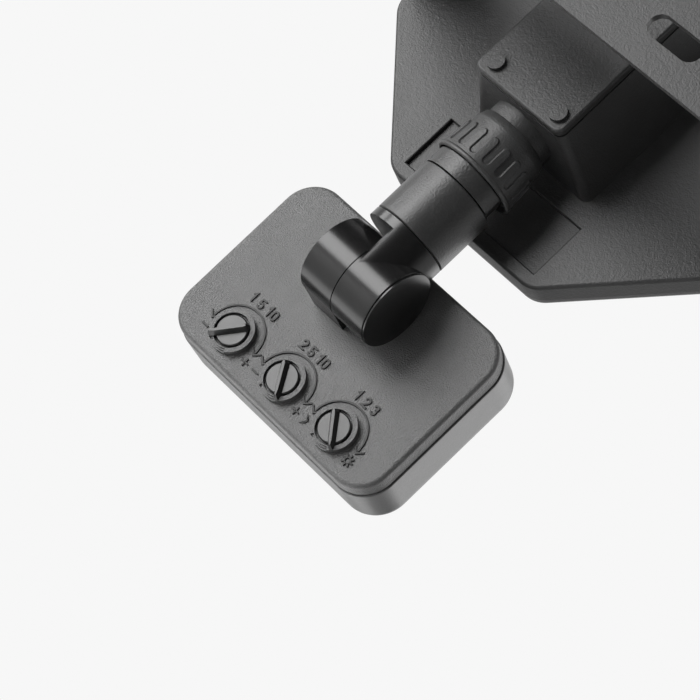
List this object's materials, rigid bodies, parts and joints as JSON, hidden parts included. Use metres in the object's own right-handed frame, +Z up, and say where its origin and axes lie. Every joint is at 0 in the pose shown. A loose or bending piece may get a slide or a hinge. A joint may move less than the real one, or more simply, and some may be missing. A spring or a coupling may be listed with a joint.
{
  "type": "motion sensor security light",
  "caption": "Flat eight-sided floodlight on a U-shaped wall bracket, with a motion sensor head on a swivelling, tilting arm below and control dials on its back.",
  "frame": {"origin": "centre of the wall bracket's middle hole at the bracket's back face", "axes": "+Z up, -Y the way the lamp's glass looks, wall plane at Y = 0"},
  "size_m": [0.1394, 0.1037, 0.1734],
  "materials": {
    "coated_metal": "matte powder coat",
    "smooth_plastic": "satin",
    "grained_plastic": "fine matte grain",
    "dial_plastic": "satin",
    "steel": "plated",
    "rubber": "matte",
    "clear_glass": "polished",
    "white_sheet": "satin white",
    "led_phosphor": "yellow phosphor",
    "lens_plastic": "translucent white",
    "board": "solder mask",
    "board_metal": "white coated",
    "components": "moulded",
    "detector_can": "plated",
    "relay_plastic": "moulded"
  },
  "bodies": {
    "bracket": {"mounting_bracket": "coated_metal"},
    "lamp": {"lamp_housing": "coated_metal", "front_bezel": "coated_metal", "front_glass": "clear_glass", "glass_gasket": "rubber", "reflector_sheet": "white_sheet", "led_board": "board_metal", "led_chips": "led_phosphor", "board_screws": "steel", "bezel_screws": "steel", "lid_gasket": "rubber", "box_lid": "coated_metal", "lid_screws": "steel", "driver_board": "board", "driver_components": "components", "terminal_block": "components", "driver_screws": "steel", "gland_body": "grained_plastic", "gland_locknut": "grained_plastic", "gland_nut": "grained_plastic", "gland_seal": "rubber", "tilt_bolts": "steel", "tilt_washers": "steel", "arm_sleeve": "smooth_plastic", "arm_neck": "smooth_plastic", "neck_seal": "rubber"},
    "collar": {"collar_nut": "grained_plastic"},
    "elbow": {"elbow": "smooth_plastic", "elbow_cap": "smooth_plastic", "swivel_clip": "steel", "swivel_seal": "rubber"},
    "sensor": {"pivot_foot": "smooth_plastic", "knee_washer": "steel", "knee_screw": "steel", "foot_screws": "steel", "sensor_cover": "grained_plastic", "sensor_housing": "grained_plastic", "sensor_gasket": "rubber", "fresnel_lens": "lens_plastic", "infrared_detector": "detector_can", "daylight_cell": "components", "sensor_board": "board", "switching_relay": "relay_plastic", "potentiometers": "components", "dial_seals": "rubber", "head_screws": "steel"},
    "time_control": {"time_dial": "dial_plastic"},
    "range_control": {"range_dial": "dial_plastic"},
    "dusk_control": {"dusk_dial": "dial_plastic"}
  },
  "joints": [
    {"name": "lamp_tilt", "type": "hinge", "parent": "bracket", "child": "lamp", "pos_m": [0, -0.064, 0], "axis": [1, 0, 0], "range_deg": [-60, 30]},
    {"name": "collar_turn", "type": "hinge", "parent": "lamp", "child": "collar", "pos_m": [0, -0.05825, -0.0429], "axis": [0, 0, 1], "range_deg": [0, 180]},
    {"name": "arm_swivel", "type": "hinge", "parent": "lamp", "child": "elbow", "pos_m": [0, -0.05825, -0.0809], "axis": [0, 0, 1], "range_deg": [-90, 90]},
    {"name": "head_tilt", "type": "hinge", "parent": "elbow", "child": "sensor", "pos_m": [0, -0.05825, -0.0809], "axis": [1, 0, 0], "range_deg": [0, 95]},
    {"name": "time_turn", "type": "hinge", "parent": "sensor", "child": "time_control", "pos_m": [0.0213, -0.07, -0.1119], "axis": [0, -1, 0], "range_deg": [-10, 290]},
    {"name": "range_turn", "type": "hinge", "parent": "sensor", "child": "range_control", "pos_m": [0.0013, -0.07, -0.1119], "axis": [0, -1, 0], "range_deg": [-296, 4]},
    {"name": "dusk_turn", "type": "hinge", "parent": "sensor", "child": "dusk_control", "pos_m": [-0.0187, -0.07, -0.1119], "axis": [0, -1, 0], "range_deg": [-289, 11]}
  ]
}
